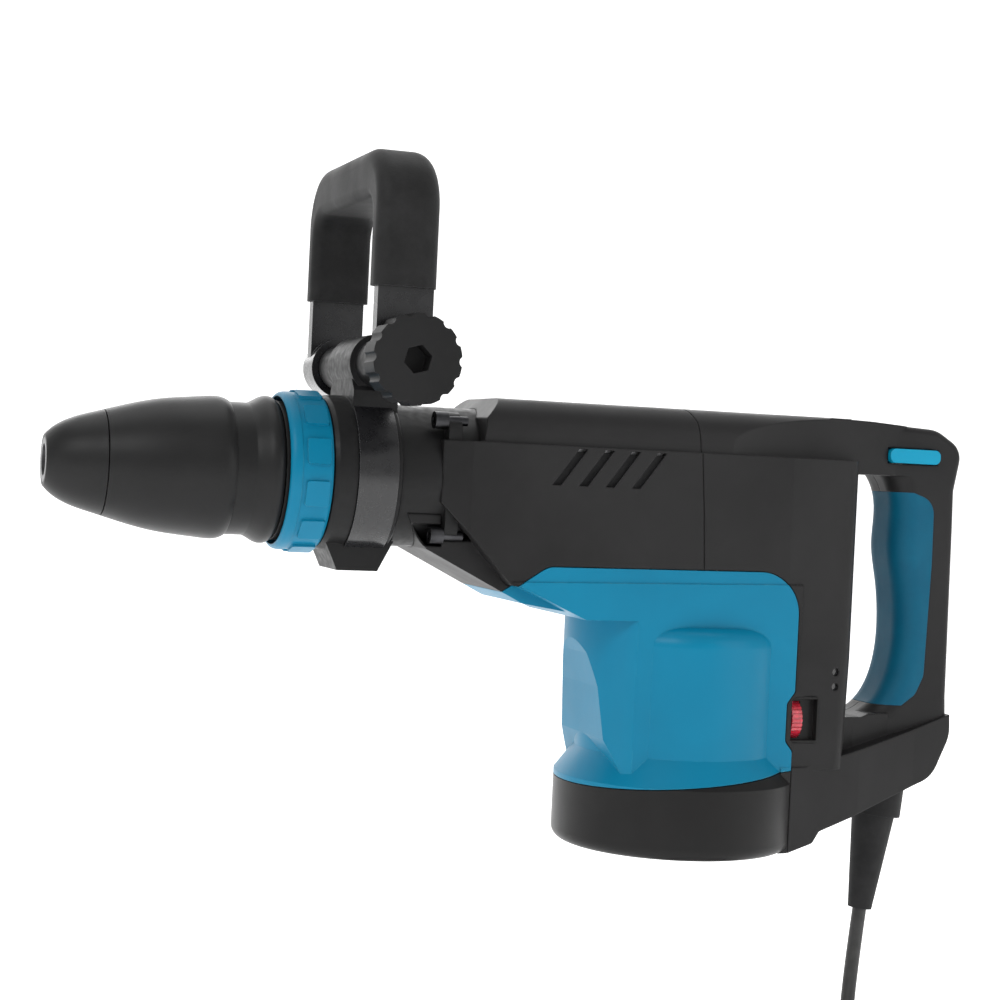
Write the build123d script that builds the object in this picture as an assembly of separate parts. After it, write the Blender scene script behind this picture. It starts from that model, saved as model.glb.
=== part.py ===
from build123d import *

import math
import os

# Electric demolition hammer, built as separate pieces in one frame.
# Millimetres, +Z up. The origin is the centre of the bit socket's mouth, on the barrel's axis.
# +X runs back along the barrel to the rear handle, and -Y is the operator's left side.

# ---- driving dimensions -------------------------------------------------------------------
SHANK_R = 9.0            # bit socket bore
SOCKET_DEPTH = 92.0      # straight bore wall behind the mouth
ROLLER_R = 3.1           # rollers that lock the bit
NECK_R = 41.4            # barrel where the side grip clamps on
HALF_W = 47.5            # half width of the body's flat sides
HOOD_HALF_W = 45.0       # half width of the hood above the side ledge
TOP_Z = 48.0             # top of the hood
LEDGE_Z = 22.0           # ledge between the flat sides and the hood
SHELL = 2.6              # wall of the plastic shells
SEAM = 0.25              # half of the gap between two shells
MOTOR_X = 391.0          # vertical motor axis
MOTOR_R = 62.0           # motor housing
BASE_R = 74.0            # base cap
BASE_Z = -218.0          # underside of the base cap
CAP_TOP_Z = -173.0       # seam of the base cap at the motor axis
CAP_TILT = 5.0           # the seam rises to the rear, degrees
REAR_X = 576.0           # back of the rear handle
GRIP_HALF_W = 21.5       # half width of the rear grip
CRANK_X = 351.0          # vertical crank axis
CRANK_R = 12.0           # crank throw
ROD_L = 81.0             # connecting rod, pin to pin
WRIST_X = CRANK_X - CRANK_R - ROD_L        # wrist pin with the piston at the front of its stroke
CYL_R = 20.0             # hammer cylinder bore
GEAR_MODULE = 1.0
PINION_TEETH = 12
GEAR_TEETH = 68
BOLT_X, BOLT_Z = 183.0, 63.5     # axis of the side grip's clamp bolt
PALM_ROUND = 11.0        # rounding of the side grip's rubber along its back
FRONT_ROUND = 8.0        # the same along its front
FINGER_ROUND = 5.5       # the same round the opening
LEG_Y = 71.9             # centre of each side grip leg
GRIP_TOP_Z = 182.0
CORD_R = 4.5
FLOOR_Z = -390.0         # surface that the put-away cord lies on
COIL_X, COIL_Y = 431.0, -17.0
COIL_IN_R, COIL_OUT_R = 39.0, 75.0
COIL_H = 36.0
GUARD_TOP = (535.0, -190.0)      # x and z where the cord guard leaves the lower arm
GUARD_TILT = 6.05                # the guard leans forward, degrees
GUARD_LENGTH = 74.0

# outlines of the shells as (x, z) corners, and their corner radii
SEAM_LINE = [(373, 60), (373, 49), (377.3, 40), (379.5, 11), (381.5, -14), (384, -60)]
BLUE_EDGE = [(196, -39), (256, -67), (284, -48.5), (447.6, -47.5), (447.6, -120), (442.5, -127),
             (442.5, -150), (447.4, -156), (447.4, -240), (196, -240)]
BLUE_EDGE_R = [1, 9, 14, 26, 4, 4, 4, 4, 1, 1]
WALL_X = 491.0           # rear wall of the body, in front of the handle opening
HANDLE_OUTLINE = [(470, 47.9), (505, 47.2), (556, 44.5), (575, 33), (570, 6), (570.5, -20),
                  (571.5, -125), (573, -150), (560, -176), (497, -198), (471, -206), (466, -213),
                  (447.4, -218), (440, -218), (440, -140), (470, -140)]
HANDLE_OUTLINE_R = [3, 12, 20, 13, 16, 12, 12, 20, 20, 6, 3, 3, 3, 1, 1, 1]
GRIP_FRONT = [(521, 14.3), (528.4, 9), (528.2, -12), (530, -38), (535, -72), (534.2, -101), (526, -124),
              (506, -138)]
OVERLAY_DEPTH = 2.0      # thickness of the soft overlay on the grip
HANDLE_WALL = 4.8        # wall thickness of the hollow handle
HANDLE_ROUNDS = {0: (14, 6), OVERLAY_DEPTH: (12, 2), HANDLE_WALL: (9.2, 1.2)}  # grip rounding: front, back
LEVER_X, LEVER_Z = (518.6, 554.6), (22.3, 31.3)
DIAL_X = (447.6, 454.4)
DIAL_CENTRE = (-33.6, -137.5)        # y and z of the speed dial's axis
DIAL_R = 13.0
LAMP_X = 477.0           # the two lamps near the rear edge
LAMP_Z = (-108.0, -117.0)
HANDLE_SCREWS = [(504, 31, 23), (561, -158, 21), (500, -180, 36), (470, -30, 43)]

os.makedirs("parts", exist_ok=True)


# ---- small builders -----------------------------------------------------------------------
def cyl(axis, radius, start, end, at=(0, 0)):
    """Cylinder along X, Y or Z from start to end; at holds the two other coordinates."""
    length = end - start
    if axis == "X":
        place = Pos(start, at[0], at[1]) * Rot(0, 90, 0)
    elif axis == "Y":
        place = Pos(at[0], start, at[1]) * Rot(-90, 0, 0)
    else:
        place = Pos(at[0], at[1], start)
    bottom = (Align.CENTER, Align.CENTER, Align.MIN)
    return place * Cylinder(radius, length, align=bottom)


def tube(axis, outer, inner, start, end, at=(0, 0)):
    return cyl(axis, outer, start, end, at) - cyl(axis, inner, start - 1, end + 1, at)


def box(low, high):
    size = [b - a for a, b in zip(low, high)]
    middle = [(a + b) / 2 for a, b in zip(low, high)]
    return Pos(*middle) * Box(*size)


def face_xz(points):
    return make_face(Polyline([(x, 0, z) for x, z in points], close=True))


def rounded_xz(points, radii, grow=0.0):
    """Face with rounded corners in the XZ plane, drawn in or out by an even distance."""
    face = make_face(FilletPolyline([(x, 0, z) for x, z in points], radius=radii, close=True))
    return offset(face, amount=grow) if grow else face


def prism_y(face, half):
    return extrude(face, amount=half, dir=(0, 1, 0), both=True)


def turned(points, curve=()):
    """Solid of revolution about the barrel axis from an (x, radius) outline, part of it a smooth curve."""
    if not curve:
        return revolve(face_xz(points), Axis.X, 360)
    smooth = Spline([(x, 0, r) for x, r in curve])
    straight = Polyline([(x, 0, r) for x, r in [curve[-1], *points, curve[0]]])
    return revolve(make_face([smooth, straight]), Axis.X, 360)


def prism_z(points, low, high, radius=0):
    """Prism between two heights from an (x, y) outline, its corners rounded if asked."""
    corners = [(x, y, low) for x, y in points]
    if radius:
        wire = FilletPolyline(corners, radius=radius, close=True)
    else:
        wire = Polyline(corners, close=True)
    return extrude(make_face(wire), amount=high - low, dir=(0, 0, 1))


def prism_x(points, start, end, radius=0):
    """Prism between two stations along the barrel from a (y, z) outline."""
    corners = [(start, y, z) for y, z in points]
    if radius:
        wire = FilletPolyline(corners, radius=radius, close=True)
    else:
        wire = Polyline(corners, close=True)
    return extrude(make_face(wire), amount=end - start, dir=(1, 0, 0))


def save(name, shape):
    shape.label = name
    export_step(shape, f"parts/{name}.step")


def group(pieces):
    return Compound(children=list(pieces))


# ---- nose: tool holder, cap, release cover, sleeve, change ring ----------------------------
def nose_parts():
    holder = turned([(0, 0), (0, 12.4), (26, 12.4), (26, 24.8), (112, 24.8), (112, 22), (156, 22),
                     (156, 0)])
    holder -= cyl("X", SHANK_R, -1, SOCKET_DEPTH)
    holder -= cyl("X", 15.0, SOCKET_DEPTH, 157)
    for side in (-1, 1):
        holder -= box((55, -ROLLER_R - 0.2, side * 16 - 9), (83, ROLLER_R + 0.2, side * 16 + 9))
    save("tool_holder", holder)

    cap_curve = [(0, 14.4), (2.6, 17.2), (12.3, 23.4), (31.6, 29.6)]
    save("front_cap", turned([(31.6, 24.9), (26, 24.9), (26, 12.5), (0, 12.5)], cap_curve))

    cover_curve = [(32.2, 29.8), (59.7, 36.9), (88, 40.3), (98.6, 39.9), (101, 38.7)]
    cover_in = [(101, 38.25), (86, 38.25), (60, 34.4), (45, 31.6), (42, 31.0), (42, 25.0), (32.2, 25.0)]
    save("chuck_cover", turned(cover_in, cover_curve))

    flange_curve = [(112.5, 37.9), (117, 40.0), (121.5, 42.1), (126, 41.7), (128, 40.0)]
    save("guide_sleeve", turned([(128, 24.9), (98, 24.9), (98, 37.9)], flange_curve))

    spring_path = Pos(43.6, 0, 0) * Rot(0, 90, 0) * Helix(pitch=8.6, height=51.6, radius=28.2)
    wire_r = 1.3
    start = spring_path @ 0
    profile = Plane(origin=start, z_dir=spring_path % 0) * Circle(wire_r)
    save("cover_spring", sweep(profile, path=spring_path))

    for name, side in (("roller_top", 1), ("roller_bottom", -1)):
        save(name, cyl("X", ROLLER_R, 57, 78, (0, side * (SHANK_R + 0.1 + ROLLER_R))))

    ring_curve = [(130, 43.0), (131.1, 44.7), (133.6, 45.5), (136.5, 45.6)]
    ring = turned([(136.5, 45.2), (153, 45.2), (154.4, 44.2), (154.4, 40.3), (137, 40.3), (137, 42.6),
                   (130, 42.6)], ring_curve)
    pad = fillet(box((139, -7.4, 44), (152.5, 7.4, 46.4)).edges().filter_by(Axis.Z), 1.6)
    pads = [Rot(15 + 30 * k, 0, 0) * pad for k in range(12)]
    ring += pads
    save("change_ring", ring)


# ---- barrel and hammer mechanism ------------------------------------------------------------
def barrel_parts():
    shell = turned([(128.6, 25.0), (128.6, 40), (155.2, 40), (155.2, NECK_R), (258, NECK_R), (258, 24.2),
                    (246, 24.2), (246, 35), (168, 35), (168, 24.2), (158, 24.2), (158, 25.0)])
    flange = prism_x([(-41, -38), (41, -38), (41, 38), (-41, 38)], 222, 230, 12) - cyl("X", 41.4, 221, 231)
    shell += flange
    bolt_holes = [cyl("X", 3.0, 221, 231, (y, z)) for y in (-36, 36) for z in (-33, 33)]
    shell -= bolt_holes
    save("barrel", shell)
    save("housing_bolts", group(
        cyl("X", 5.0, 214, 221.9, (y, z)) - cyl("X", 2.4, 213, 218, (y, z)) + cyl("X", 2.8, 221.9, 234,
                                                                                  (y, z))
        for y in (-36, 36) for z in (-33, 33)))

    save("cylinder", tube("X", 24.1, CYL_R, 162.5, 300))
    save("damper_ring", tube("X", 19.5, 11.5, 163, 169))

    bolt = turned([(97, 0), (97, 8), (103, 8.8), (106, 8.8), (112, 14.9), (140, 14.9), (144, 10.5),
                   (161, 10.5), (161, 0)])
    save("impact_bolt", bolt)
    striker = turned([(180, 0), (180, 10.5), (194, 10.5), (198, 19.9), (206, 19.9), (206, 18.2),
                      (209, 18.2), (209, 19.9), (226, 19.9), (226, 0)])
    save("striker", striker)
    save("striker_seal", tube("X", 19.95, 18.2, 206, 209))
    piston = cyl("X", 19.9, 234, 272) - cyl("X", 14.5, 246, 273)
    piston -= tube("X", 21, 18.2, 238, 241)
    piston -= cyl("Z", 5.0, -21, 21, (WRIST_X, 0))
    save("piston", piston)
    save("piston_seal", tube("X", 19.95, 18.2, 238, 241))
    save("wrist_pin", cyl("Z", 5.0, -18, 18, (WRIST_X, 0)))

    big_end = CRANK_X - CRANK_R
    rod = cyl("Z", 8.5, -7, 7, (WRIST_X, 0)) + cyl("Z", 14, -7, 7, (big_end, 0))
    rod += box((WRIST_X, -6, -5), (big_end, 6, 5))
    rod -= cyl("Z", 5.05, -8, 8, (WRIST_X, 0))
    rod -= cyl("Z", 9, -8, 8, (big_end, 0))
    save("con_rod", rod)


def tooth_half_angle(teeth, radius, thinning):
    """Half the angle that an involute tooth fills at a radius."""
    pitch_r = GEAR_MODULE * teeth / 2
    base_r = pitch_r * math.cos(math.radians(20))

    def involute(angle):
        return math.tan(angle) - angle

    at_pitch = math.pi / (2 * teeth) - thinning / pitch_r
    pressure = math.acos(min(1.0, base_r / max(radius, base_r)))
    return at_pitch + involute(math.radians(20)) - involute(pressure)


def gear(teeth, low, high, centre_x, first_tooth):
    """Spur gear as one prism; first_tooth is the angle of a tooth's middle, in degrees."""
    pitch_r = GEAR_MODULE * teeth / 2
    root_r = pitch_r - 1.25 * GEAR_MODULE
    tip_r = pitch_r + 0.9 * GEAR_MODULE
    steps = 4
    radii = [root_r + (tip_r - root_r) * k / steps for k in range(steps + 1)]
    outline = []
    for tooth in range(teeth):
        middle = math.radians(first_tooth) + 2 * math.pi * tooth / teeth
        left = [(r, middle - tooth_half_angle(teeth, r, 0.05)) for r in radii]
        right = [(r, middle + tooth_half_angle(teeth, r, 0.05)) for r in reversed(radii)]
        outline += left + right
    points = [(centre_x + r * math.cos(a), r * math.sin(a)) for r, a in outline]
    return prism_z(points, low, high)


def crank_parts():
    pin_x = CRANK_X - CRANK_R
    shaft = cyl("Z", 24, -26, -19, (CRANK_X, 0)) + cyl("Z", 8.5, -19, -7.6, (pin_x, 0))
    shaft += cyl("Z", 8, -64, -26, (CRANK_X, 0))
    save("crankshaft", shaft)
    wheel = gear(GEAR_TEETH, -40, -28, CRANK_X, 180 / GEAR_TEETH) - cyl("Z", 8, -41, -27, (CRANK_X, 0))
    save("crank_gear", wheel)
    save("crank_bearings", group(tube("Z", 13, 8, z, z + 8, (CRANK_X, 0)) for z in (-65, -52)))

    outer = prism_z([(258, -41.5), (404, -41.5), (404, 41.5), (258, 41.5)], -46.5, 31, 10)
    inner = prism_z([(262, -37.5), (400, -37.5), (400, 37.5), (262, 37.5)], -42.5, 27, 7)
    case = outer - inner - cyl("X", 24.1, 250, 270)
    for x in (CRANK_X, MOTOR_X):
        case += cyl("Z", 16, -66, -46.5, (x, 0))
        case -= cyl("Z", 13, -65, -44, (x, 0))
        case -= cyl("Z", 9, -67, -40, (x, 0))
    save("crank_case", case)


# ---- motor ----------------------------------------------------------------------------------
def motor_parts():
    at = (MOTOR_X, 0)
    shaft = cyl("Z", 5, -204, -41, at) + gear(PINION_TEETH, -41, -27, MOTOR_X, 180)
    save("armature_shaft", shaft)
    save("armature_bearings", group([tube("Z", 13, 5, -60, -50, at), tube("Z", 13, 5, -200, -190, at)]))

    slots = [Pos(MOTOR_X, 0, 0) * Rot(0, 0, 360 / 16 * k) * box((19, -1.2, -146),
                                                                (25, 1.2, -91)) for k in range(16)]
    core = tube("Z", 24, 5, -145, -92, at) - slots
    save("armature_core", core)
    bars = [Pos(MOTOR_X, 0, 0) * Rot(0, 0, 15 * k) * box((15, -0.3, -183),
                                                         (17, 0.3, -159)) for k in range(24)]
    save("commutator", tube("Z", 16, 5, -182, -160, at) - bars)
    hub = tube("Z", 10, 5, -83, -70, at)
    disc = tube("Z", 44, 9, -83, -81, at)
    blades = [Pos(MOTOR_X, 0, 0) * Rot(0, 0, 30 * k) * box((9, -0.8, -82),
                                                           (42, 0.8, -70)) for k in range(12)]
    save("fan", hub + disc + blades)

    ring = tube("Z", 46, 25.2, -145, -92, at)
    windows = [box((MOTOR_X - 13, s * 33 - 6, -146), (MOTOR_X + 13, s * 33 + 6, -91)) for s in (-1, 1)]
    save("stator_core", ring - windows)
    coils = [box((MOTOR_X - 20, s * 33 - 5.8, -155), (MOTOR_X + 20, s * 33 + 5.8, -145.1)) +
             box((MOTOR_X - 12.8, s * 33 - 5.8, -146), (MOTOR_X + 12.8, s * 33 + 5.8, -91)) +
             box((MOTOR_X - 20, s * 33 - 5.8, -91.9), (MOTOR_X + 20, s * 33 + 5.8, -86)) for s in (-1, 1)]
    save("stator_windings", group(coils))

    holders = []
    brushes = []
    for side in (-1, 1):
        low, high = sorted((side * 20, side * 44))
        holder = box((MOTOR_X - 6, low, -178), (MOTOR_X + 6, high, -164))
        holder -= box((MOTOR_X - 3.2, low - 1, -176), (MOTOR_X + 3.2, high + 1, -166))
        holders.append(holder)
        low, high = sorted((side * 16.2, side * 36))
        brushes.append(box((MOTOR_X - 3.1, low, -175.9), (MOTOR_X + 3.1, high, -166.1)))
    save("brush_holders", group(holders))
    save("brushes", group(brushes))


# ---- body shells -------------------------------------------------------------------------------


def mirrored(points):
    """Outline symmetrical about the XZ plane from the stations of its -Y side."""
    return points + [(x, -y) for x, y in reversed(points)]


def body_form(inset):
    """The body's outer form, or the same form drawn in by a wall thickness."""
    half = HALF_W - inset
    side = [(219 + inset, LEDGE_Z - inset), (219 + inset, -14), (262, -60), (300, -66), (MOTOR_X, -66),
            (MOTOR_X, -168 + inset), (489 - inset, -168 + inset), (491 - inset, -100), (491 - inset,
                                                                                        LEDGE_Z - inset)]
    plan = mirrored([(219, -41.6 + inset), (235, -half), (440, -half), (491 - inset, -half + 5)])
    flanks = prism_y(face_xz(side), half) & prism_z(plan, -200, 60)
    rear_corners = flanks.edges().filter_by(Axis.Z).group_by(Axis.X)[-1]
    flanks = fillet(rear_corners, 12 - inset)

    hood_half = HOOD_HALF_W - inset
    hood_side = [(238 + inset, -10), (244 + inset, 36), (255, TOP_Z - inset), (488, TOP_Z - inset),
                 (488, -10)]
    hood_plan = mirrored([(228, -hood_half), (400, -hood_half), (500, -26 + inset)])
    hood_cross = [(-hood_half, -50), (-hood_half, TOP_Z - inset), (hood_half, TOP_Z - inset),
                  (hood_half, -50)]
    hood = prism_y(face_xz(hood_side), hood_half) & prism_z(hood_plan, -20, 60)
    hood &= prism_x(hood_cross, 220, 510, 20 - inset)

    chin_half = 36 - inset
    chin_cross = [(-chin_half, 10), (-chin_half, -90), (chin_half, -90), (chin_half, 10)]
    chin_side = [(200, -20), (213, -41 + inset), (273, -71 + inset), (312, -77 + inset), (330, -20)]
    chin = prism_y(face_xz(chin_side), 40) & prism_x(chin_cross, 190, 340)

    lobe_side = [(262, -58), (300, -75 + inset), (309, -79 + inset), (317 + inset, -88),
                 (322 + inset, -101),
                 (326 + inset, -120), (329 + inset, -151), (340, -176), (447, -176), (450, -55)]
    nose = cyl("Z", MOTOR_R - inset, -200, -50, (MOTOR_X - 10, 0))
    lobe = prism_y(face_xz(lobe_side), half + 0.8)
    lobe &= nose + box((MOTOR_X - 10, -80, -200), (500, 80, -20)) + box((250, -80, -79 + inset),
                                                                        (400, 80, -20))
    bulge = cyl("Z", MOTOR_R - inset, -190, -82 - inset, (MOTOR_X, 0))
    bulge = fillet(bulge.edges().sort_by(Axis.Z)[-1], 12 - inset)
    flare = Pos(MOTOR_X, 0, -168) * Cone(BASE_R - inset, MOTOR_R - inset, 16)
    base = cyl("Z", BASE_R - inset, BASE_Z + inset, -176, (MOTOR_X, 0))
    base = fillet(base.edges().sort_by(Axis.Z)[0], 7 - inset)
    return flanks + hood + chin + lobe + bulge + flare + base


def handle_opening(gap):
    """Face of the handle's finger opening; gap draws it outwards."""
    palm = Spline([(x, 0, z) for x, z in GRIP_FRONT])
    stations = [palm.position_at(k / 7) + Vector(-1, 0, 0) * palm.tangent_at(k / 7).Z * gap
                + Vector(0, 0, 1) * palm.tangent_at(k / 7).X * gap for k in range(8)]
    rest = [(WALL_X - 8 - gap, 0, -137 - gap), (WALL_X - 10 - gap, 0, -108),
            (WALL_X - 2 - gap, 0, 14 + gap)]
    return make_face([Spline(stations), Polyline([stations[-1], *rest, stations[0]])])


def rims_of(form, half):
    """The edges that lie flat on the form's two side faces."""
    return [edge for edge in form.edges()
            if abs(abs(edge.center().Y) - half) < 0.001 and edge.bounding_box().size.Y < 0.001]


def handle_form(inset):
    """The D handle behind the body: upper arm, grip and lower arm."""
    opening = handle_opening(inset)
    outline = rounded_xz(HANDLE_OUTLINE, HANDLE_OUTLINE_R, -inset)
    slab = prism_y(outline - opening, 60)
    half = GRIP_HALF_W - inset
    palm_round, back_round = HANDLE_ROUNDS[inset]
    ring = prism_y(outline - opening, half)
    palm = [edge for edge in rims_of(ring,
                                     half) if edge.length > 80 and edge.geom_type is not GeomType.LINE]
    ring = fillet(palm, palm_round)
    back = [edge for edge in rims_of(ring, half) if edge.center().X > 556 or edge.center().Z > 44 - inset]
    ring = fillet([edge for edge in back if edge.center().X > 505], back_round)

    def slice_of(stations, low, high):
        return slab & prism_z(mirrored([(x, -y + inset) for x, y in stations]), low, high)

    upper = slice_of([(470, 31.7), (500, 26), (530, GRIP_HALF_W - 1), (534, GRIP_HALF_W - 4)], 14, 60)
    lower = slice_of([(440, 49.2), (447.4, 48.2), (500, 38), (545, 27), (REAR_X + 1, 22)], -230, -130)
    crest = [(438, -166), (458, -166), (492, -158.5), (513, -153.5), (542, -146), (580, -134)]
    crest = [(x, z - inset) for x, z in crest] + [(580, -230), (438, -230)]
    lower &= prism_y(face_xz(crest), 60)
    saddle = slice_of([(478, 34), (500, 27), (528, GRIP_HALF_W)], -170, -136)
    return upper + ring + lower + saddle


def bolt_places():
    """Centres, as (y, z), of the four bolts that hold the barrel's flange."""
    return [(y, z) for y in (-36, 36) for z in (-33, 33)]


def grip_overlay():
    """Soft overlay on the front and sides of the rear grip."""
    outline = [(500, 4), (536, 5), (554, -1), (554.5, -40), (552.5, -112), (547, -124), (536, -132),
               (500, -132)]
    zone = prism_y(rounded_xz(outline, [1, 3, 12, 40, 12, 8, 6, 1]), 60)
    keep = box((508, -30, -131), (560, 30, 4))
    return (handle_form(0) - handle_form(OVERLAY_DEPTH)) & zone & keep


def shell_parts():
    outer = body_form(0) + handle_form(0)
    inner = body_form(SHELL) + handle_form(HANDLE_WALL)
    inner -= box((440, -60, -168), (446, 60, -60))
    skin = outer - inner
    skin -= cyl("X", NECK_R + 0.1, 190, 262)
    skin -= prism_x([(-41.2, -38.2), (41.2, -38.2), (41.2, 38.2), (-41.2, 38.2)], 221, 230.1, 12)
    skin -= [cyl("X", 6.5, 190, 222, place) + cyl("X", 3.0, 221, 240, place) for place in bolt_places()]

    far = prism_y(face_xz([(x + SEAM, z) for x, z in SEAM_LINE] + [(700, -60), (700, 60)]), 90)
    near = prism_y(face_xz([(x - SEAM, z) for x, z in SEAM_LINE] + [(700, -60), (700, 60)]), 90)
    below = box((384, -90, -240), (700, 90, -59.9))
    blue_zone = prism_y(rounded_xz(BLUE_EDGE, BLUE_EDGE_R, -SEAM), 90)
    blue_room = prism_y(rounded_xz(BLUE_EDGE, BLUE_EDGE_R, SEAM), 90)
    rise = math.tan(math.radians(CAP_TILT))

    def cap_seam(x, gap):
        return (x, CAP_TOP_Z + (x - MOTOR_X) * rise + gap)

    cap_zone = prism_y(face_xz([cap_seam(300, -SEAM), cap_seam(447.1, -SEAM), (447.1, -240),
                                (300, -240)]), 90)
    over_cap = prism_y(face_xz([cap_seam(150, SEAM), cap_seam(600, SEAM), (600, 100), (150, 100)]), 90)

    motor = skin & blue_zone & over_cap
    motor += [Pos(MOTOR_X, 0, 0) * Rot(0, 0, angle) * box((46.1, -3, -145), (MOTOR_R - SHELL + 0.4, 3, -92))
              for angle in (70, 110, 250, 290)]
    save("motor_housing", motor)

    bracket = tube("Z", BASE_R - SHELL + 0.4, 13, -187, -183, (MOTOR_X, 0))
    bracket += tube("Z", 16, 13, -200, -183, (MOTOR_X, 0))
    cap = (skin & cap_zone) + (bracket & box((300, -90, -210), (446.9, 90, -180)))
    for at in base_screw_places():
        cap += cyl("Z", 6, BASE_Z + 1, -186, at)
        cap -= cyl("Z", 4.1, BASE_Z - 1, BASE_Z + 3, at) + cyl("Z", 2.05, BASE_Z, -194, at)
    save("base_cap", cap)

    front = skin - blue_room - near - below
    slots = []
    for k in range(4):
        top_x = 300 + 16.7 * k
        slots.append(prism_y(face_xz([(top_x - 16, -1), (top_x, 20.5), (top_x + 5.5, 20.5),
                                      (top_x - 10.5, -1)]), 60))
    save("front_housing", front - slots)
    screens = [box((280, low, -6), (362, low + 1, 19)) for low in (-44.6, 43.6)]
    save("vent_screen", group(screens))

    rear = (skin & (far + below)) - blue_room
    overlay = grip_overlay()
    rear -= overlay
    rear -= box((LEVER_X[0] - 0.5, -40, LEVER_Z[0] - 0.5), (LEVER_X[1] + 0.5, 40, LEVER_Z[1] + 0.5))
    rear -= dial_pocket()
    rear -= [cyl("Y", 2.4, -50, -30, (LAMP_X, z)) for z in LAMP_Z]
    rear -= guard_form()
    for x, z, reach in HANDLE_SCREWS:
        rear += cyl("Y", 5.5, 0.2 - reach, reach - 0.2, (x, z))
        rear -= cyl("Y", 4.2, reach - 5, reach + 20, (x, z)) + cyl("Y", 1.6, -12, reach, (x, z))
    save("handle_grip", overlay)
    save("rear_shell_left", rear & box((300, -100, -260), (620, -0.1, 100)))
    save("rear_shell_right", rear & box((300, 0.1, -260), (620, 100, 100)))


# ---- controls -----------------------------------------------------------------------------------


def dial_pocket():
    """Room for the dial's bezel in the left side of the rear body."""
    plate = box((445.4, -60, -151), (465.6, -30, -123))
    return fillet(plate.edges().filter_by(Axis.Y), 3)


def control_parts():
    low, high = LEVER_Z
    lever = box((LEVER_X[0], -25.5, low), (LEVER_X[1], 25.5, high))
    lever = fillet(lever.edges().filter_by(Axis.Y), 4)
    save("switch_lever", lever)
    save("switch_body", box((539, -11, -30), (560, 11, LEVER_Z[0] - 0.6)))

    wheel_y, wheel_z = DIAL_CENTRE
    wheel = cyl("X", DIAL_R, *DIAL_X, DIAL_CENTRE) - cyl("X", 2.0, 440, 460, DIAL_CENTRE)
    notches = [Pos(0, wheel_y, wheel_z) * Rot(12 * k, 0, 0) * box((440, -0.5, DIAL_R - 0.7),
                                                                  (460, 0.5, DIAL_R + 1))
               for k in range(30)]
    save("speed_dial", wheel - notches)

    bezel = fillet(box((445.4, -46.2, -151), (465.6, -30.5, -123)).edges().filter_by(Axis.Y), 3)
    bezel -= cyl("X", DIAL_R + 0.5, 447.2, 454.9, DIAL_CENTRE)
    bezel -= box((447.2, wheel_y, wheel_z - DIAL_R - 0.5), (454.9, -29, wheel_z + DIAL_R + 0.5))
    bezel -= box((446.9, -50, -149.6), (464.2, -41, -124.4))
    bezel += cyl("X", 1.9, 447.1, 455.5, DIAL_CENTRE)
    save("dial_bezel", bezel)
    save("indicator_lamps", group(cyl("Y", 2.3, -41.5, -34, (LAMP_X, z)) for z in LAMP_Z))
    save("control_board", box((462, -24, -150), (480, 24, -70)))


# ---- cord -----------------------------------------------------------------------------------------
def guard_place():
    return Pos(GUARD_TOP[0], 0, GUARD_TOP[1]) * Rot(0, GUARD_TILT, 0)


def guard_form():
    collar = cyl("Z", 17, -13, 6)
    taper = Pos(0, 0, -13 - (GUARD_LENGTH - 13) / 2) * Cone(7.6, 13.6, GUARD_LENGTH - 13)
    return guard_place() * (collar + taper)


def route(name, points):
    """Cord tube along straight runs and tangent arcs; prints each arc's radius."""
    corners = [Vector(*p) for p in points]
    radii = []
    for before, at, after in zip(corners, corners[1:], corners[2:]):
        run_in, run_out = at - before, after - at
        half_turn = math.radians(run_in.get_angle(run_out)) / 2
        radii.append(0.45 * min(run_in.length, run_out.length) / math.tan(half_turn))
    path = FilletPolyline(points, radius=radii)
    tube_solid = sweep(Plane(origin=path @ 0, z_dir=path % 0) * Circle(CORD_R), path=path)
    ideal = math.pi * CORD_R ** 2 * path.length
    print(name, "radii", [round(r, 1) for r in radii], "length", round(path.length, 1),
          "volume ratio", round(tube_solid.volume / ideal, 4))
    return tube_solid


def cord_parts():
    save("cord_guard", guard_form())
    exit_point = guard_place() * Pos(0, 0, -GUARD_LENGTH)
    start = tuple(exit_point.position)
    below_guard = tuple((exit_point * Pos(0, 0, -38.6)).position)
    top_turn_z = FLOOR_Z + COIL_H - CORD_R
    lead = [start, below_guard, (513.5, -13.0, -337), (497, -43, -356), (476, -71.3, top_turn_z)]
    tail = [(436, 53.3, FLOOR_Z + CORD_R), (458, 56, FLOOR_Z + CORD_R + 0.3), (482, 59.5, FLOOR_Z + 9)]
    save("cord", route("cord", lead))
    save("cord_tail", route("cord_tail", tail))

    place = Pos(COIL_X, COIL_Y, 0) * Rot(0, 0, 200)
    low, high = FLOOR_Z, FLOOR_Z + COIL_H
    tie = box((COIL_IN_R - 1.4, -7, low), (COIL_OUT_R + 1.4, 7, high + 1.4))
    tie -= box((COIL_IN_R, -8, low + 1.4), (COIL_OUT_R, 8, high))
    tie = place * tie
    coil = tube("Z", COIL_OUT_R, COIL_IN_R, low, high, (COIL_X, COIL_Y))
    coil = fillet(coil.edges().filter_by(GeomType.CIRCLE), CORD_R)
    save("cord_coil", coil - tie)
    save("cord_tie", tie)

    plug_place = Pos(482, 59.5, FLOOR_Z + 9) * Rot(0, 0, 8.3)
    body = plug_place * prism_z([(0, -7), (14, -8), (22, -17), (48, -17), (48, 17), (22, 17), (14, 8),
                                 (0, 7)], -9, 9, 3)
    save("plug_body", body)
    save("plug_pins", group(plug_place * cyl("X", 2.4, 48, 67, (y, 0)) for y in (-9.5, 9.5)))


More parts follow.
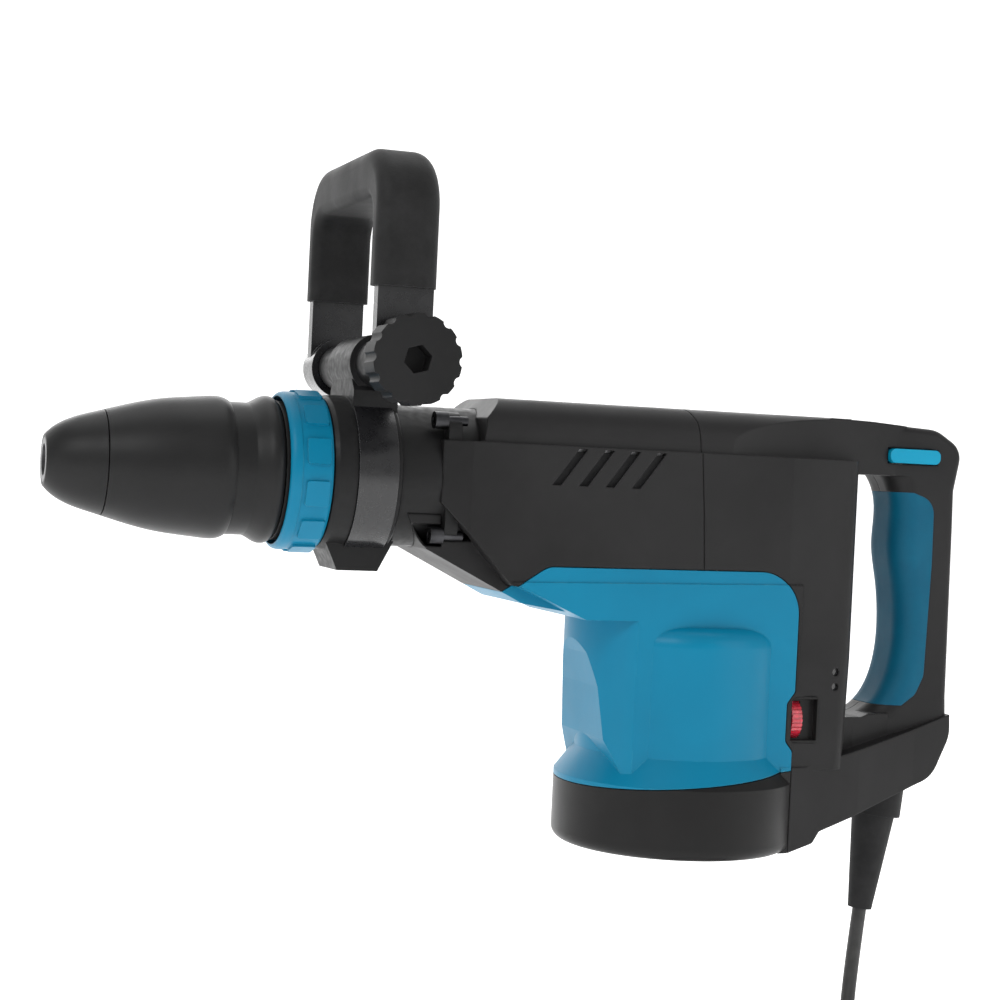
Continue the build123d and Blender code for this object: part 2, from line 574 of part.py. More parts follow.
# ---- side grip ---------------------------------------------------------------------------------------
def side_grip_parts():
    bolt = (BOLT_X, BOLT_Z)
    collar = turned([(155.5, 41.7), (155.5, 43.4), (158, 44.6), (168.6, 45.2), (168.6, 43.6), (191.8, 43.6),
                     (191.8, 45.0), (194, 45.0), (195, 44.0), (195, 41.7)])
    lug = prism_y(face_xz([(157, -38), (165, -55.5), (189, -55.5), (198, -38)]), 20)
    saddle = prism_x([(-26, 34), (-26, 48), (-17, 58), (17, 58), (26, 48), (26, 34)], 168.6, 195)
    ear = cyl("Y", 17, -24, 24, bolt)
    sleeve = cyl("Y", 14, -67.6, 58, bolt)
    base = collar + lug + saddle + ear + sleeve - cyl("X", 41.7, 140, 210) - cyl("Y", 5.3, -90, 90, bolt)
    save("grip_base", base)
    strap = tube("X", 46.6, 43.7, 168.7, 191.7)
    strap -= box((150, -20.1, -60), (210, 20.1, -30)) + box((150, -26.1, 18), (210, 26.1, 60))
    save("clamp_band", strap)
    save("clamp_bolt", cyl("Y", 5.0, -88.5, 83, bolt) + prism_hex(bolt, 83, 89, 9))

    width = (BOLT_X - 17, BOLT_X + 15)
    arch = arch_form(LEG_Y + 4, GRIP_TOP_Z - 8, 26, *width) - arch_form(LEG_Y - 4, GRIP_TOP_Z - 16, 18,
                                                                        *width)
    hub_far = cyl("Y", 18, LEG_Y - 12, LEG_Y + 10, bolt)
    hub_near = cyl("Y", 17, -LEG_Y - 4, -LEG_Y + 4, bolt)
    bar = arch & box((100, -100, BOLT_Z), (260, 100, 200))
    bar += hub_far + hub_near
    bar -= cyl("Y", 5.3, -100, 100, bolt)
    save("grip_bar", bar)

    wide = (BOLT_X - 19.5, BOLT_X + 17.5)
    rubber = arch_form(LEG_Y + 8.6, GRIP_TOP_Z, 34, *wide) - arch_form(LEG_Y - 8.6, GRIP_TOP_Z - 27, 14,
                                                                       *wide)
    rubber &= box((100, -100, 104), (260, 100, 200))

    def rims(x, outer):
        """The rubber's long edges at one face, round its outside or round the opening."""
        edges = [e for e in rubber.edges().filter_by_position(Axis.X, x - 0.1, x + 0.1)
                 if e.bounding_box().size.Z > 1 or e.center().Z > 110]
        return [e for e in edges if outer == (abs(e.center().Y) > LEG_Y or e.center().Z > GRIP_TOP_Z - 15)]

    rubber = fillet(rims(wide[1], True), PALM_ROUND)
    rubber = fillet(rims(wide[0], True), FRONT_ROUND)
    rubber = fillet(rims(wide[0], False) + rims(wide[1], False), FINGER_ROUND)
    save("grip_rubber", rubber - arch)

    knob = cyl("Y", 25, -101, -82, bolt) + Pos(BOLT_X, -80, BOLT_Z) * Rot(90, 0, 0) * Cone(20, 25, 4)
    knob += cyl("Y", 16, -82, -77, bolt)
    knob -= [cyl("Y", 3.2, -102, -78, (BOLT_X + 26.6 * math.cos(a), BOLT_Z + 26.6 * math.sin(a)))
             for a in (2 * math.pi * k / 14 for k in range(14))]
    knob -= prism_hex(bolt, -102, -90, 8.1)
    knob -= cyl("Y", 5.3, -89, -70, bolt)
    save("clamp_knob", knob)


def prism_hex(at, start, end, corner_r):
    """Hexagonal prism along Y, corner_r from its axis to a corner."""
    points = [(at[0] + corner_r * math.cos(math.radians(60 * k + 15)),
               at[1] + corner_r * math.sin(math.radians(60 * k + 15)))
              for k in range(6)]
    face = Pos(0, start, 0) * face_xz(points)
    return extrude(face, amount=end - start, dir=(0, 1, 0))


def arch_form(half_width, top, corner, start, end):
    """Solid arch seen along the barrel: two straight sides and rounded upper corners."""
    points = [(start, -half_width, 20), (start, -half_width, top), (start, half_width, top),
              (start, half_width, 20)]
    wire = FilletPolyline(points, radius=[0.5, corner, corner, 0.5], close=True)
    return extrude(make_face(wire), amount=end - start, dir=(1, 0, 0))


# ---- screws ----------------------------------------------------------------------------------------------


def base_screw_places():
    angles = [math.radians(a) for a in (50, 130, 230, 310)]
    return [(MOTOR_X + 60 * math.cos(a), 60 * math.sin(a)) for a in angles]


def screw(axis, head_r, shank_r, head_end, neck, tip, at):
    """Socket screw from its head's outer end to its tip."""
    head = cyl(axis, head_r, *sorted((head_end, neck)), at)
    depth = head_end + 0.6 * (neck - head_end)
    head -= cyl(axis, head_r * 0.45, *sorted((head_end - 0.5 * (neck - head_end), depth)), at)
    return head + cyl(axis, shank_r, *sorted((neck, tip)), at)


def screw_parts():
    save("base_screws", group(screw("Z", 4, 2, BASE_Z + 0.3, BASE_Z + 3, BASE_Z + 22, at)
                              for at in base_screw_places()))
    save("handle_screws", group(screw("Y", 4, 1.55, reach - 2, reach - 5, -10, (x, z))
                                for x, z, reach in HANDLE_SCREWS))


def main():
    nose_parts()
    barrel_parts()
    crank_parts()
    motor_parts()
    shell_parts()
    control_parts()
    cord_parts()
    side_grip_parts()
    screw_parts()


if __name__ == "__main__":
    main()
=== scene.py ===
"""Looks of the electric demolition hammer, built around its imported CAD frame.

Metres, in the CAD's own frame: the origin is the mouth of the bit socket, +X runs back along the
barrel, -Y is the operator's left side and +Z is up.
"""

import math

import bpy
from mathutils import Matrix, Vector


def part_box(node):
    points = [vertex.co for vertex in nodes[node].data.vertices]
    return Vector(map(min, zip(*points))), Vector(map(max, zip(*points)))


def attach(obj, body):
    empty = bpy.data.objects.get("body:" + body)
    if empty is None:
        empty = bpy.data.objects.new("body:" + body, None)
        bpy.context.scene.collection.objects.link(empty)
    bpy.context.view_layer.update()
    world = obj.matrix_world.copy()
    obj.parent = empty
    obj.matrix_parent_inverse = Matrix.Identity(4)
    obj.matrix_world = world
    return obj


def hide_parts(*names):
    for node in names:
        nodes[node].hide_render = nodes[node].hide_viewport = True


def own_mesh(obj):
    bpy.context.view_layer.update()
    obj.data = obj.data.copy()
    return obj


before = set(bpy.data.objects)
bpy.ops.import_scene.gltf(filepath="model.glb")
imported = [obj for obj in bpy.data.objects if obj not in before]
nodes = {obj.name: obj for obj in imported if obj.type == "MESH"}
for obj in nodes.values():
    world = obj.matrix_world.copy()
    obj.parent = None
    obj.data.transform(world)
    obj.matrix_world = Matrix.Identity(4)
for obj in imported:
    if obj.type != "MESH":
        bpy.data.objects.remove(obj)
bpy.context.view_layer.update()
scene = bpy.context.scene

# ---- driving values ---------------------------------------------------------------------------
CAMERA_AT = (-0.1364, -1.1420, 0.0074)
CAMERA_AZIMUTH = 19.55
CAMERA_TILT = 0.91
CAMERA_ROLL = 2.72
LENS = 72.94
SENSOR = 36.0
FLOOR_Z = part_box("cord_coil")[0].z

FLOOR_GAP = 0.0005
STAGE_REACH = 14.0
STAGE_BACK = 2.5
STAGE_BEND = 3.0
STAGE_RISE = 9.0
STAGE_STEPS = 16
MIDDLE = (0.28, 0, -0.05)

# each light's name, place, target, size in metres and power in watts
LIGHTS = [
    ("key", (-1.3, -1.9, 1.9), MIDDLE, (1.6, 1.2), 30),
    ("fill", (1.9, -1.7, 0.7), MIDDLE, (1.4, 1.8), 11),
    ("strip", (-1.5, -0.7, -0.05), (0.2, 0, -0.1), (0.5, 1.6), 2.5),
    ("top", (0.3, 0.5, 2.3), MIDDLE, (2.4, 1.6), 18),
    ("back", (0.6, 2.2, 0.9), MIDDLE, (2.0, 1.2), 12),
]

CORD_R = 0.0045
COIL_AT = (0.431, -0.017)
COIL_OUT_R = 0.0705
COIL_IN_R = 0.0435
COIL_TURNS = 3
COIL_LAYERS = 4
POINTS_PER_TURN = 24
COIL_BOW = 0.0018        # how far the cord swings out where it drops to the next layer
# the cord's route from the guard to the coil, and from the coil to the plug
LEAD = [(0.52720, 0, -0.26359), (0.52313, 0, -0.30197), (0.5135, -0.013, -0.337), (0.497, -0.043, -0.356),
        (0.476, -0.0713, -0.3585)]
TAIL = [(0.436, 0.0533, -0.3855), (0.458, 0.056, -0.3852), (0.482, 0.0595, -0.381)]

BLUE = (0.0, 0.176, 0.305, 1)
BLUE_DEEP = (0.0, 0.152, 0.268, 1)
BLUE_SOFT = (0.0, 0.080, 0.145, 1)
BLACK = (0.011, 0.0107, 0.011, 1)
BLACK_HIGH = (0.017, 0.0167, 0.017, 1)
RUBBED = (0.05, 0.05, 0.05, 1)       # black plastic and rubber where edges are worn
BLUE_RUBBED = (0.1, 0.42, 0.55, 1)


# ---- camera, floor and light --------------------------------------------------------------------
def make_camera():
    """Camera at the viewing angle, with the small roll of the picture."""
    azimuth, tilt, roll = (math.radians(v) for v in (CAMERA_AZIMUTH, CAMERA_TILT, CAMERA_ROLL))
    ahead = Vector((math.sin(azimuth) * math.cos(tilt), math.cos(azimuth) * math.cos(tilt), -math.sin(tilt)))
    level = Vector((math.cos(azimuth), -math.sin(azimuth), 0))
    upward = level.cross(ahead)
    right = math.cos(roll) * level + math.sin(roll) * upward
    up = right.cross(ahead)
    data = bpy.data.cameras.new("camera")
    data.lens = LENS
    data.sensor_width = SENSOR
    data.clip_start = 0.05
    data.clip_end = 50
    camera = bpy.data.objects.new("camera", data)
    scene.collection.objects.link(camera)
    turn = Matrix((right, up, -ahead)).transposed().to_4x4()
    camera.matrix_world = Matrix.Translation(CAMERA_AT) @ turn
    scene.camera = camera


def area_light(name, place, target, size, power):
    data = bpy.data.lights.new(name, "AREA")
    data.shape = "RECTANGLE"
    data.size, data.size_y = size
    data.energy = power
    light = bpy.data.objects.new(name, data)
    scene.collection.objects.link(light)
    light.location = place
    light.rotation_euler = (Vector(target) - Vector(place)).to_track_quat("-Z", "Y").to_euler()


def make_stage():
    """White floor that curves up behind, and soft studio light."""
    profile = [(-STAGE_REACH, 0.0), (STAGE_BACK, 0.0)]
    profile += [(STAGE_BACK + STAGE_BEND * math.sin(a), STAGE_BEND - STAGE_BEND * math.cos(a))
                for a in (math.pi / 2 * k / STAGE_STEPS for k in range(1, STAGE_STEPS + 1))]
    profile.append((STAGE_BACK + STAGE_BEND, STAGE_RISE))
    verts = [(x, y, FLOOR_Z - FLOOR_GAP + z) for x in (-STAGE_REACH, STAGE_REACH) for y, z in profile]
    count = len(profile)
    faces = [(k, k + 1, count + k + 1, count + k) for k in range(count - 1)]
    mesh = bpy.data.meshes.new("floor")
    mesh.from_pydata(verts, [], faces)
    mesh.shade_smooth()
    floor = bpy.data.objects.new("floor", mesh)
    scene.collection.objects.link(floor)
    paper = bpy.data.materials.new("floor_paper")
    paper.use_nodes = True
    surface = paper.node_tree.nodes["Principled BSDF"]
    surface.inputs["Base Color"].default_value = (0.93, 0.93, 0.93, 1)
    surface.inputs["Roughness"].default_value = 0.9
    surface.inputs["Emission Color"].default_value = (1, 1, 1, 1)
    surface.inputs["Emission Strength"].default_value = 0.6
    mesh.materials.append(paper)

    for light in LIGHTS:
        area_light(*light)
    world = bpy.data.worlds.new("world")
    world.use_nodes = True
    world.node_tree.nodes["Background"].inputs["Color"].default_value = (1, 1, 1, 1)
    world.node_tree.nodes["Background"].inputs["Strength"].default_value = 0.5
    scene.world = world
    scene.view_settings.view_transform = "Standard"


# ---- material tools ------------------------------------------------------------------------------
class Graph:
    """Short names for building one material's nodes."""

    def __init__(self, name):
        self.material = bpy.data.materials.new(name)
        self.material.use_nodes = True
        self.tree = self.material.node_tree
        self.surface = self.tree.nodes["Principled BSDF"]
        self.place = self.add("ShaderNodeTexCoord").outputs["Object"]

    def add(self, kind, **settings):
        node = self.tree.nodes.new(kind)
        for key, value in settings.items():
            setattr(node, key, value)
        return node

    def link(self, source, target):
        self.tree.links.new(source, target)

    def set(self, **values):
        for key, value in values.items():
            self.surface.inputs[key.replace("_", " ")].default_value = value

    def noise(self, scale, detail=3.0, rough=0.55, stretch=None, warp=0.0):
        texture = self.add("ShaderNodeTexNoise")
        texture.inputs["Scale"].default_value = scale
        texture.inputs["Detail"].default_value = detail
        texture.inputs["Roughness"].default_value = rough
        texture.inputs["Distortion"].default_value = warp
        self.link(self.stretched(stretch), texture.inputs["Vector"])
        return texture.outputs["Fac"]

    def cells(self, scale):
        texture = self.add("ShaderNodeTexVoronoi")
        texture.inputs["Scale"].default_value = scale
        self.link(self.place, texture.inputs["Vector"])
        return texture.outputs["Distance"]

    def stretched(self, stretch):
        if stretch is None:
            return self.place
        mapping = self.add("ShaderNodeMapping")
        mapping.inputs["Scale"].default_value = stretch
        self.link(self.place, mapping.inputs["Vector"])
        return mapping.outputs["Vector"]

    def span(self, value, low, high, to_low=0.0, to_high=1.0):
        node = self.add("ShaderNodeMapRange")
        self.link(value, node.inputs["Value"])
        for key, number in (("From Min", low), ("From Max", high), ("To Min", to_low), ("To Max", to_high)):
            node.inputs[key].default_value = number
        return node.outputs["Result"]

    def math(self, operation, first, second):
        node = self.add("ShaderNodeMath", operation=operation)
        for socket, value in zip(node.inputs, (first, second)):
            if isinstance(value, (int, float)):
                socket.default_value = value
            else:
                self.link(value, socket)
        return node.outputs["Value"]

    def mix(self, factor, first, second):
        node = self.add("ShaderNodeMix", data_type="RGBA")
        self.link(factor, node.inputs["Factor"])
        for key, value in (("A", first), ("B", second)):
            socket = [s for s in node.inputs if s.name == key and s.type == "RGBA"][0]
            if isinstance(value, tuple):
                socket.default_value = value
            else:
                self.link(value, socket)
        return [s for s in node.outputs if s.type == "RGBA"][0]

    def edges(self, radius, low=0.02, high=0.22):
        """Mask of the convex and concave edges, from a rounded normal against the true one."""
        rounded = self.add("ShaderNodeBevel", samples=4)
        rounded.inputs["Radius"].default_value = radius
        true = self.add("ShaderNodeNewGeometry")
        dot = self.add("ShaderNodeVectorMath", operation="DOT_PRODUCT")
        self.link(rounded.outputs["Normal"], dot.inputs[0])
        self.link(true.outputs["Normal"], dot.inputs[1])
        return self.span(self.math("SUBTRACT", 1.0, dot.outputs["Value"]), low, high)

    def bump(self, height, strength, distance, rounding=0.0):
        node = self.add("ShaderNodeBump")
        node.inputs["Strength"].default_value = strength
        node.inputs["Distance"].default_value = distance
        self.link(height, node.inputs["Height"])
        if rounding:
            rounded = self.add("ShaderNodeBevel", samples=4)
            rounded.inputs["Radius"].default_value = rounding
            self.link(rounded.outputs["Normal"], node.inputs["Normal"])
        self.link(node.outputs["Normal"], self.surface.inputs["Normal"])

    def colour(self, value):
        self.link(value, self.surface.inputs["Base Color"])

    def roughness(self, value):
        self.link(value, self.surface.inputs["Roughness"])


def moulded(name, base, high, rough, grain=2600.0, depth=0.00003, wear=RUBBED, rounding=0.0007):
    """Injection-moulded plastic: fine spark-eroded grain, faint flow tone, lightly rubbed edges."""
    g = Graph(name)
    flow = g.noise(9.0, 4.0, 0.6, warp=0.4)
    cloud = g.noise(70.0, 5.0, 0.6)
    body = g.mix(g.span(flow, 0.35, 0.68), base, high)
    rubbed = g.math("MULTIPLY", g.edges(0.0009), g.span(cloud, 0.45, 0.75, 0.0, 0.55))
    g.colour(g.mix(rubbed, body, wear))
    smear = g.span(g.noise(24.0, 5.0, 0.65, stretch=(1.0, 1.0, 0.45)), 0.3, 0.7, rough - 0.05, rough + 0.07)
    g.roughness(smear)
    fine = g.math("ADD", g.noise(grain, 2.0, 0.5), g.math("MULTIPLY", g.cells(grain * 0.45), 0.5))
    g.bump(fine, 0.55, depth, rounding)
    g.set(IOR=1.5, Specular_IOR_Level=0.18)
    return g.material


def rubber(name, base, high, rough=0.68, grain=1500.0, depth=0.00006, sheen=0.048):
    """Moulded rubber: matt, dusty in its pores, with a soft sheen."""
    g = Graph(name)
    dust = g.noise(60.0, 6.0, 0.7)
    pores = g.cells(grain)
    tone = g.mix(g.span(dust, 0.4, 0.72), base, high)
    g.colour(g.mix(g.math("MULTIPLY", g.edges(0.0010), 0.35), tone, RUBBED))
    g.roughness(g.span(g.noise(33.0, 4.0, 0.6), 0.3, 0.7, rough - 0.06, rough + 0.08))
    g.bump(g.math("ADD", pores, g.noise(grain * 0.6, 3.0, 0.6)), 0.6, depth, 0.0008)
    g.set(Sheen_Weight=sheen, Sheen_Roughness=0.5, Specular_IOR_Level=0.18)
    return g.material


def cast(name, base, high):
    """Painted light alloy casting: orange-peel coat over a sand texture."""
    g = Graph(name)
    sand = g.noise(700.0, 5.0, 0.65)
    peel = g.noise(240.0, 2.0, 0.5)
    tone = g.mix(g.span(g.noise(12.0, 3.0, 0.5), 0.35, 0.7), base, high)
    chip = g.math("MULTIPLY", g.edges(0.0006, 0.05, 0.3), g.span(g.noise(160.0, 4.0, 0.7), 0.5, 0.66))
    g.colour(g.mix(g.math("MULTIPLY", chip, 0.25), tone, (0.16, 0.16, 0.17, 1)))
    g.roughness(g.span(peel, 0.3, 0.7, 0.35, 0.52))
    g.bump(g.math("ADD", sand, g.math("MULTIPLY", peel, 1.4)), 0.4, 0.00005, 0.0008)
    g.set(Specular_IOR_Level=0.2)
    return g.material


def gloss_paint(name):
    """Gloss black paint on pressed steel, worn to bright metal along its edges."""
    g = Graph(name)
    edge = g.edges(0.0005, 0.08, 0.3)
    broken = g.span(g.noise(95.0, 5.0, 0.7), 0.36, 0.5)
    bare = g.math("MULTIPLY", g.math("MULTIPLY", edge, broken), 0.45)
    cloud = g.span(g.noise(20.0, 3.0, 0.5), 0.3, 0.7)
    tone = g.mix(cloud, (0.006, 0.006, 0.007, 1), (0.011, 0.011, 0.012, 1))
    g.colour(g.mix(bare, tone, (0.3, 0.3, 0.31, 1)))
    g.link(bare, g.surface.inputs["Metallic"])
    g.roughness(g.span(g.noise(130.0, 4.0, 0.6), 0.3, 0.7, 0.22, 0.34))
    g.bump(g.noise(190.0, 2.0, 0.5), 0.22, 0.00006, 0.0005)
    g.set(Coat_Weight=0.35, Coat_Roughness=0.12)
    return g.material


def metal(name, base, high, rough, stretch, grain=900.0):
    """Machined metal: fine lay along one axis, with stains that vary its polish."""
    g = Graph(name)
    lay = g.noise(grain, 3.0, 0.6, stretch=stretch)
    stain = g.noise(55.0, 5.0, 0.65)
    g.colour(g.mix(g.span(stain, 0.35, 0.7), base, high))
    polish = g.span(lay, 0.3, 0.7, rough - 0.06, rough + 0.06)
    g.roughness(g.math("ADD", polish, g.span(stain, 0.4, 0.8, 0.0, 0.12)))
    g.bump(lay, 0.35, 0.00003, 0.0004)
    g.set(Metallic=1.0)
    return g.material


def laminated(name):
    """Stack of thin steel sheets: fine dark lines at an even pitch up the core."""
    g = Graph(name)
    wave = g.add("ShaderNodeTexWave", bands_direction="Z")
    wave.inputs["Scale"].default_value = 320.0
    wave.inputs["Distortion"].default_value = 0.4
    g.link(g.place, wave.inputs["Vector"])
    stain = g.noise(80.0, 5.0, 0.6)
    steel = g.mix(g.span(stain, 0.3, 0.7), (0.22, 0.21, 0.2, 1), (0.36, 0.36, 0.36, 1))
    g.colour(g.mix(g.span(wave.outputs["Fac"], 0.1, 0.5), (0.05, 0.05, 0.05, 1), steel))
    g.roughness(g.span(stain, 0.3, 0.7, 0.35, 0.55))
    g.bump(wave.outputs["Fac"], 0.4, 0.0001)
    g.set(Metallic=0.9)
    return g.material


def wound(name):
    """Enamelled copper wire laid side by side."""
    g = Graph(name)
    wave = g.add("ShaderNodeTexWave", bands_direction="Y")
    wave.inputs["Scale"].default_value = 260.0
    wave.inputs["Distortion"].default_value = 1.2
    g.link(g.place, wave.inputs["Vector"])
    g.colour(g.mix(g.span(wave.outputs["Fac"], 0.05, 0.6), (0.1, 0.03, 0.01, 1), (0.62, 0.24, 0.08, 1)))
    g.roughness(g.span(g.noise(150.0, 3.0, 0.5), 0.3, 0.7, 0.25, 0.4))
    g.bump(wave.outputs["Fac"], 0.7, 0.0003)
    g.set(Metallic=0.85, Coat_Weight=0.5, Coat_Roughness=0.15)
    return g.material


def board(name):
    """Potted electronics: glassy resin with settled specks."""
    g = Graph(name)
    specks = g.cells(900.0)
    g.colour(g.mix(g.span(specks, 0.0, 0.35), (0.04, 0.1, 0.06, 1), (0.01, 0.045, 0.025, 1)))
    g.roughness(g.span(g.noise(60.0, 4.0, 0.6), 0.3, 0.7, 0.2, 0.4))
    g.bump(g.noise(45.0, 3.0, 0.5), 0.3, 0.0004)
    return g.material


def dial_red(name):
    """Tinted see-through plastic of the speed dial."""
    g = Graph(name)
    depth = g.noise(400.0, 3.0, 0.6)
    g.colour(g.mix(g.span(depth, 0.3, 0.7), (0.36, 0.004, 0.018, 1), (0.62, 0.02, 0.05, 1)))
    g.roughness(g.span(g.noise(90.0, 4.0, 0.6), 0.3, 0.7, 0.12, 0.26))
    g.bump(g.noise(1300.0, 2.0, 0.5), 0.25, 0.00003, 0.0003)
    g.set(Subsurface_Weight=0.25, Subsurface_Scale=0.003, Coat_Weight=0.6, Coat_Roughness=0.1)
    return g.material


def lens(name):
    """Small dark lamp lens with a painted highlight: a pale ring of light painted into its colour at the
    rim.
    """
    g = Graph(name)
    # painted highlight: the edge mask turns the lens colour pale grey at its rim, standing in for light
    # caught there
    g.colour(g.mix(g.edges(0.0006, 0.02, 0.2), (0.02, 0.02, 0.022, 1), (0.25, 0.26, 0.27, 1)))
    g.roughness(g.span(g.noise(300.0, 3.0, 0.5), 0.3, 0.7, 0.06, 0.14))
    g.bump(g.noise(800.0, 2.0, 0.5), 0.1, 0.00002, 0.0004)
    g.set(Coat_Weight=1.0)
    return g.material


def cord_rubber(name):
    """Extruded rubber sheath: faint lengthwise die lines and dust."""
    g = Graph(name)
    dust = g.span(g.noise(45.0, 6.0, 0.7), 0.4, 0.75)
    g.colour(g.mix(dust, (0.014, 0.014, 0.014, 1), (0.036, 0.035, 0.034, 1)))
    g.roughness(g.span(g.noise(120.0, 4.0, 0.6), 0.3, 0.7, 0.5, 0.66))
    g.bump(g.math("ADD", g.noise(900.0, 3.0, 0.6), g.noise(2600.0, 2.0, 0.5)), 0.45, 0.00004)
    g.set(Sheen_Weight=0.1, Sheen_Roughness=0.5)
    return g.material


def woven_tie(name):
    """Hook-and-loop strap: woven in two directions, with a fibrous face."""
    g = Graph(name)
    weave = g.math("MULTIPLY", g.cells(1900.0), g.noise(1500.0, 3.0, 0.6))
    g.colour(g.mix(g.span(weave, 0.02, 0.4), (0.008, 0.008, 0.009, 1), (0.06, 0.06, 0.062, 1)))
    g.roughness(g.span(g.noise(500.0, 3.0, 0.6), 0.3, 0.7, 0.75, 0.95))
    g.bump(weave, 0.8, 0.0003)
    g.set(Sheen_Weight=0.4, Sheen_Roughness=0.6)
    return g.material


# ---- materials, and the CAD nodes that wear them -------------------------------------------------
def make_materials():
    shell = moulded("shell_black", BLACK, BLACK_HIGH, 0.42, rounding=0.0015)
    cap = moulded("cap_black", (0.008, 0.0078, 0.0078, 1), (0.013, 0.0128, 0.0126, 1), 0.36)
    nose = moulded("nose_black", (0.010, 0.010, 0.0102, 1), (0.015, 0.015, 0.0152, 1), 0.37, grain=2000.0)
    knob = moulded("knob_black", (0.007, 0.007, 0.0072, 1), (0.012, 0.012, 0.0123, 1), 0.5, depth=0.00005)
    blue = moulded("housing_blue", BLUE, BLUE_DEEP, 0.34, grain=3000.0, depth=0.00002, wear=BLUE_RUBBED)
    ring = moulded("ring_blue", BLUE, BLUE_DEEP, 0.36, grain=2600.0, wear=BLUE_RUBBED)
    lever = moulded("lever_blue", (0.0, 0.27, 0.43, 1), (0.0, 0.22, 0.37, 1), 0.3, wear=(0.15, 0.5, 0.62, 1))
    soft = rubber("grip_blue", BLUE_SOFT, (0.0, 0.095, 0.165, 1), 0.52, 1900.0, 0.00004, 0.0)
    matt = rubber("rubber_black", (0.012, 0.012, 0.0125, 1), (0.021, 0.021, 0.0215, 1))
    grip = rubber("rubber_grip", (0.009, 0.009, 0.0092, 1), (0.016, 0.016, 0.0163, 1), 0.6, 1100.0, 0.00008)
    alloy = cast("alloy_black", (0.007, 0.007, 0.0072, 1), (0.012, 0.012, 0.0123, 1))
    paint = gloss_paint("band_black")
    steel = metal("steel", (0.42, 0.42, 0.43, 1), (0.56, 0.56, 0.57, 1), 0.26, (0.08, 1, 1))
    holder = metal("holder_steel", (0.15, 0.15, 0.155, 1), (0.24, 0.24, 0.245, 1), 0.34, (0.08, 1, 1))
    dark_steel = metal("screw_black", (0.03, 0.03, 0.032, 1), (0.075, 0.075, 0.08, 1), 0.34, (1, 1, 0.2))
    aluminium = metal("aluminium", (0.5, 0.5, 0.51, 1), (0.62, 0.62, 0.63, 1), 0.36, (1, 0.3, 1), 500.0)
    brass = metal("plug_brass", (0.62, 0.45, 0.2, 1), (0.72, 0.55, 0.28, 1), 0.22, (0.1, 1, 1))
    copper = metal("copper", (0.7, 0.3, 0.14, 1), (0.78, 0.38, 0.2, 1), 0.3, (1, 1, 0.2))
    carbon = moulded("carbon", (0.02, 0.02, 0.02, 1), (0.06, 0.06, 0.06, 1), 0.5)
    wear_list = {
        shell: ["front_housing", "rear_shell_left", "rear_shell_right", "switch_body", "fan",
                "brush_holders"],
        cap: ["base_cap", "dial_bezel"],
        nose: ["front_cap", "chuck_cover", "guide_sleeve"],
        knob: ["clamp_knob"],
        blue: ["motor_housing"],
        ring: ["change_ring"],
        lever: ["switch_lever"],
        soft: ["handle_grip"],
        matt: ["cord_guard", "plug_body", "damper_ring", "striker_seal", "piston_seal", "vent_screen"],
        grip: ["grip_rubber"],
        alloy: ["barrel", "grip_base"],
        paint: ["clamp_band", "grip_bar"],
        holder: ["tool_holder"],
        steel: ["cover_spring", "roller_top", "roller_bottom", "impact_bolt", "striker",
                "wrist_pin", "con_rod", "crankshaft", "crank_gear", "armature_shaft", "armature_bearings",
                "crank_bearings", "cylinder"],
        dark_steel: ["housing_bolts", "base_screws", "handle_screws", "clamp_bolt"],
        aluminium: ["crank_case", "piston"],
        brass: ["plug_pins"],
        copper: ["commutator"],
        carbon: ["brushes"],
        laminated("laminated_steel"): ["armature_core", "stator_core"],
        wound("winding"): ["stator_windings"],
        board("potting"): ["control_board"],
        dial_red("dial_red"): ["speed_dial"],
        lens("lamp_lens"): ["indicator_lamps"],
        woven_tie("tie_weave"): ["cord_tie"],
        cord_rubber("cord_rubber"): ["cord", "cord_tail", "cord_coil"],
    }
    for material, names in wear_list.items():
        for name in names:
            mesh = nodes[name].data
            mesh.materials.clear()
            mesh.materials.append(material)
    bare = sorted(set(nodes) - {n for names in wear_list.values() for n in names})
    assert not bare, f"CAD nodes with no material: {bare}"


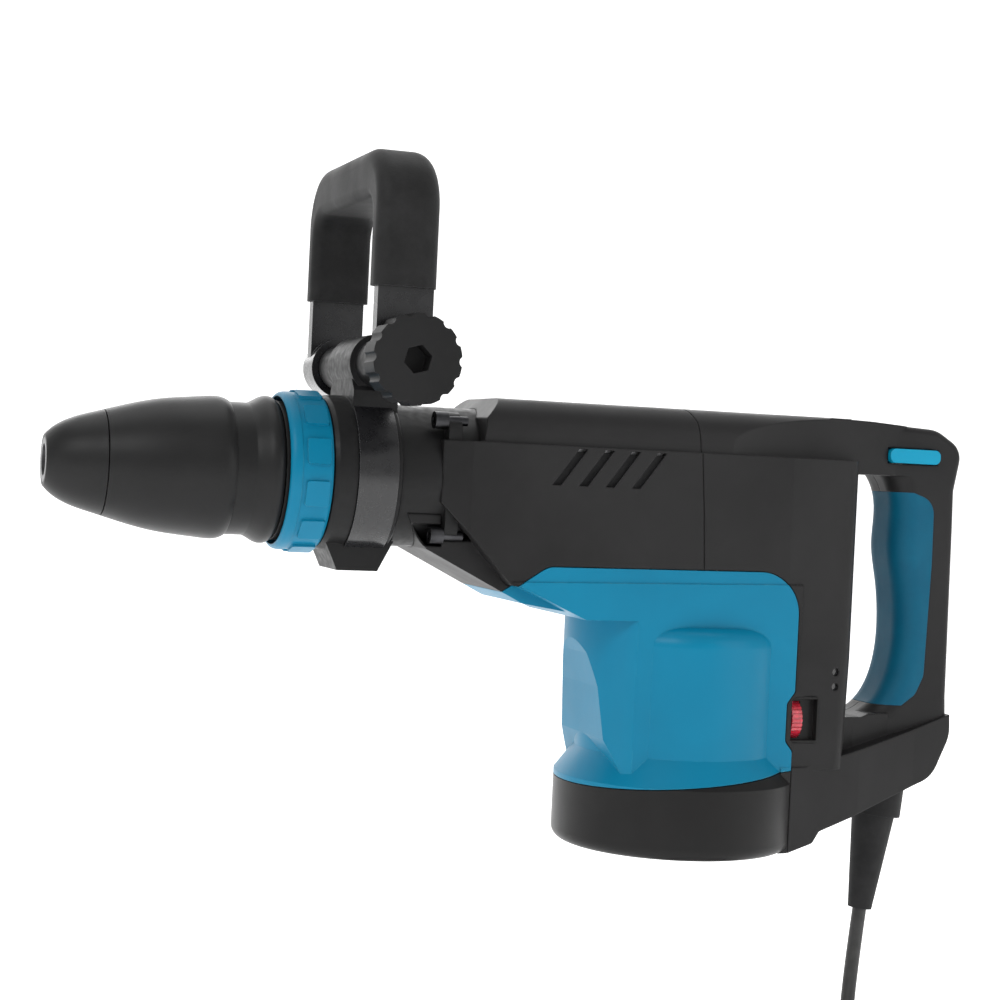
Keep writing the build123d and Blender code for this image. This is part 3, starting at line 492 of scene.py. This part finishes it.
# ---- cord ------------------------------------------------------------------------------------------
def coil_points():
    """Turns of the put-away cord: level spirals, in and out by turns, with a half-turn drop between them."""
    start = math.atan2(LEAD[-1][1] - COIL_AT[1], LEAD[-1][0] - COIL_AT[0])
    finish = math.atan2(TAIL[0][1] - COIL_AT[1], TAIL[0][0] - COIL_AT[0])
    grow = 1 / math.cos(math.pi / POINTS_PER_TURN)
    spin = COIL_TURNS * POINTS_PER_TURN
    drop = POINTS_PER_TURN // 2
    path = []
    z = LEAD[-1][2]
    for layer in range(COIL_LAYERS):
        inward = layer % 2 == 0
        begin, end = (COIL_OUT_R, COIL_IN_R) if inward else (COIL_IN_R, COIL_OUT_R)
        path += [(begin + (end - begin) * k / spin, z) for k in range(spin)]
        if layer < COIL_LAYERS - 1:
            out = -COIL_BOW if inward else COIL_BOW
            for k in range(drop):
                share = k / drop
                fall = (1 - math.cos(math.pi * share)) / 2
                path.append((end + out * math.sin(math.pi * share), z - 2 * CORD_R * fall))
            z -= 2 * CORD_R
    turned = len(path) * 2 * math.pi / POINTS_PER_TURN
    left = (start - turned - finish) % (2 * math.pi)
    extra = max(2, round(left * POINTS_PER_TURN / (2 * math.pi)))
    angles = [start - 2 * math.pi * k / POINTS_PER_TURN for k in range(len(path))]
    angles += [start - turned - left * k / extra for k in range(extra)]
    path += [(COIL_OUT_R, z)] * extra
    return [(COIL_AT[0] + r * grow * math.cos(a), COIL_AT[1] + r * grow * math.sin(a), height)
            for a, (r, height) in zip(angles, path)][1:]


def make_cord():
    data = bpy.data.curves.new("power_cord", "CURVE")
    data.dimensions = "3D"
    data.bevel_depth = CORD_R
    data.bevel_resolution = 5
    data.resolution_u = 6
    data.use_fill_caps = True
    line = data.splines.new("NURBS")
    points = LEAD + coil_points() + TAIL
    line.points.add(len(points) - 1)
    for slot_point, place in zip(line.points, points):
        slot_point.co = (*place, 1)
    line.order_u = 3
    line.use_endpoint_u = True
    cord = bpy.data.objects.new("power_cord", data)
    scene.collection.objects.link(cord)
    data.materials.append(nodes["cord"].data.materials[0])
    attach(cord, "housing")
    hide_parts("cord", "cord_tail", "cord_coil")


# ---- spring ----------------------------------------------------------------------------------------
def make_spring():
    """Return spring of the release cover: its own copy of the CAD spring mesh, carried by the tool holder
    body.
    """
    model = nodes["cover_spring"]
    spring = bpy.data.objects.new("return_spring", model.data.copy())
    scene.collection.objects.link(spring)
    spring.matrix_world = model.matrix_world
    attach(spring, "tool_holder")
    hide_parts("cover_spring")
    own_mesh(spring)


make_camera()
make_materials()
make_cord()
make_spring()
make_stage()
